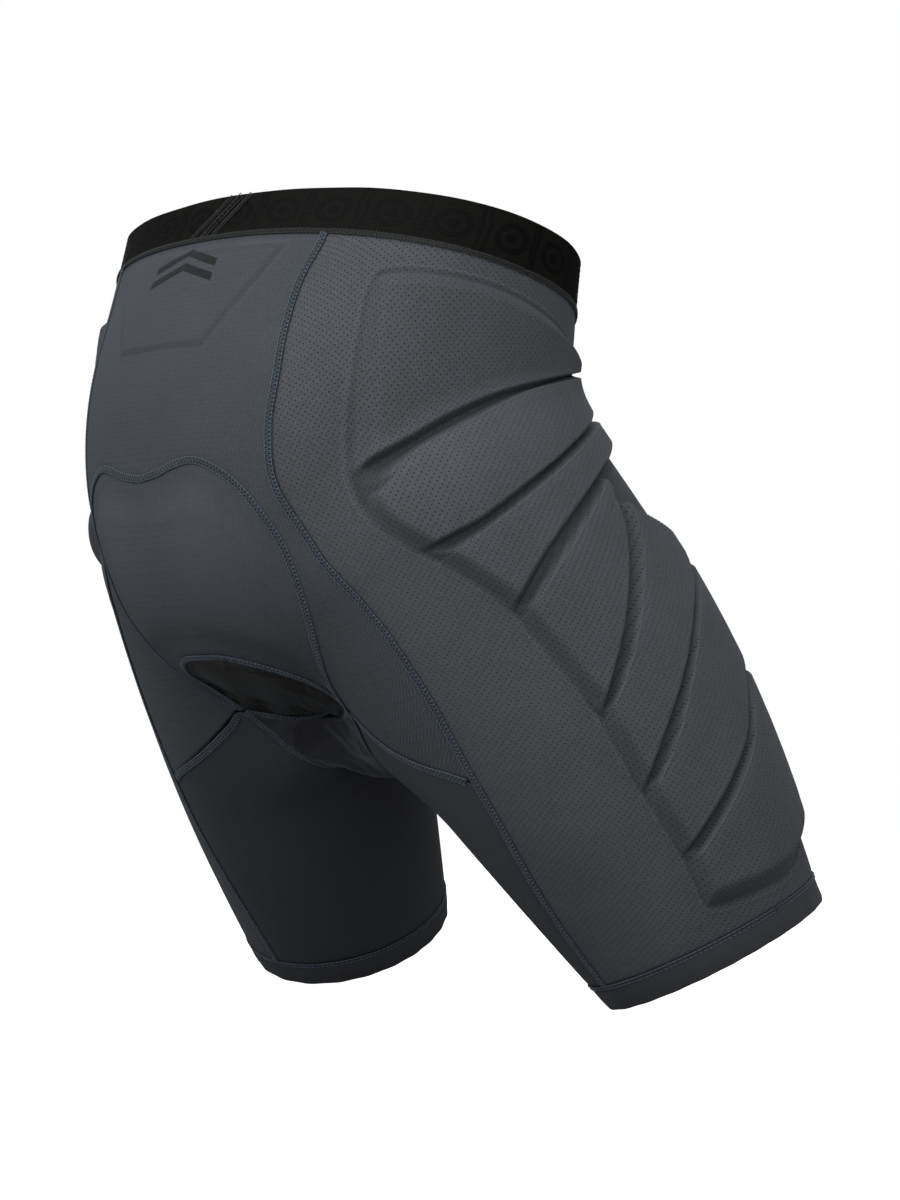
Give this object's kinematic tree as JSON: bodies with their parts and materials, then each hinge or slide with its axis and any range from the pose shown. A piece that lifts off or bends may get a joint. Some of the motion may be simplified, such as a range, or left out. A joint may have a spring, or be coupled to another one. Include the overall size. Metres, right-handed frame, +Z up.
{
  "type": "padded impact shorts",
  "caption": "Worn-shape stretch shorts with foam segments under perforated side panels, tailbone pad, seat pad, elastic waistband and flat seams.",
  "frame": {"origin": "centre of the waist opening, in the plane of the waistband's top edge", "axes": "+Z up as worn, -Y the way the wearer faces, the wearer's right leg at -X; the two halves mirror across X = 0"},
  "size_m": [0.4552, 0.343, 0.4518],
  "materials": {
    "band_elastic": "matt woven elastic with a darker tonal motif",
    "thread": "matt polyester thread, flat overlock stitches",
    "foam": "closed-cell foam, matt",
    "lining": "light warp knit, matt",
    "side_mesh": "perforated stretch mesh, matt with a faint sheen",
    "pouch_jersey": "smooth jersey, soft satin",
    "leg_knit": "fine ribbed stretch knit, matt",
    "hem_knit": "stretch knit turned and coverstitched, matt",
    "seat_knit": "brushed stretch knit, matt",
    "body_knit": "fine waffle stretch knit, matt"
  },
  "bodies": {
    "root": {"waistband": "band_elastic", "waistband_bartack": "thread", "waist_seam": "thread", "back_panel": "body_knit", "seat_panel": "seat_knit", "crotch_gusset": "pouch_jersey", "front_pouch": "pouch_jersey", "side_panel_right": "side_mesh", "side_lining_right": "lining", "front_panel_right": "body_knit", "leg_panel_right": "leg_knit", "hem_cuff_right": "hem_knit", "hip_pad_upper_right": "foam", "hip_pad_middle_right": "foam", "hip_pad_lower_right": "foam", "thigh_pad_1_right": "foam", "thigh_pad_2_right": "foam", "thigh_pad_3_right": "foam", "thigh_pad_4_right": "foam", "back_seam_right": "thread", "front_seam_right": "thread", "pouch_seam_right": "thread", "thigh_seam_right": "thread", "front_thigh_seam_right": "thread", "hem_stitch_right": "thread", "side_panel_left": "side_mesh", "side_lining_left": "lining", "front_panel_left": "body_knit", "leg_panel_left": "leg_knit", "hem_cuff_left": "hem_knit", "hip_pad_upper_left": "foam", "hip_pad_middle_left": "foam", "hip_pad_lower_left": "foam", "thigh_pad_1_left": "foam", "thigh_pad_2_left": "foam", "thigh_pad_3_left": "foam", "thigh_pad_4_left": "foam", "back_seam_left": "thread", "front_seam_left": "thread", "pouch_seam_left": "thread", "thigh_seam_left": "thread", "front_thigh_seam_left": "thread", "hem_stitch_left": "thread", "tailbone_pad": "foam", "tailbone_pocket": "lining", "seat_pad": "foam", "seat_pad_cover": "lining", "seat_seam": "thread", "gusset_seam": "thread", "cross_seam": "thread"}
  },
  "joints": []
}
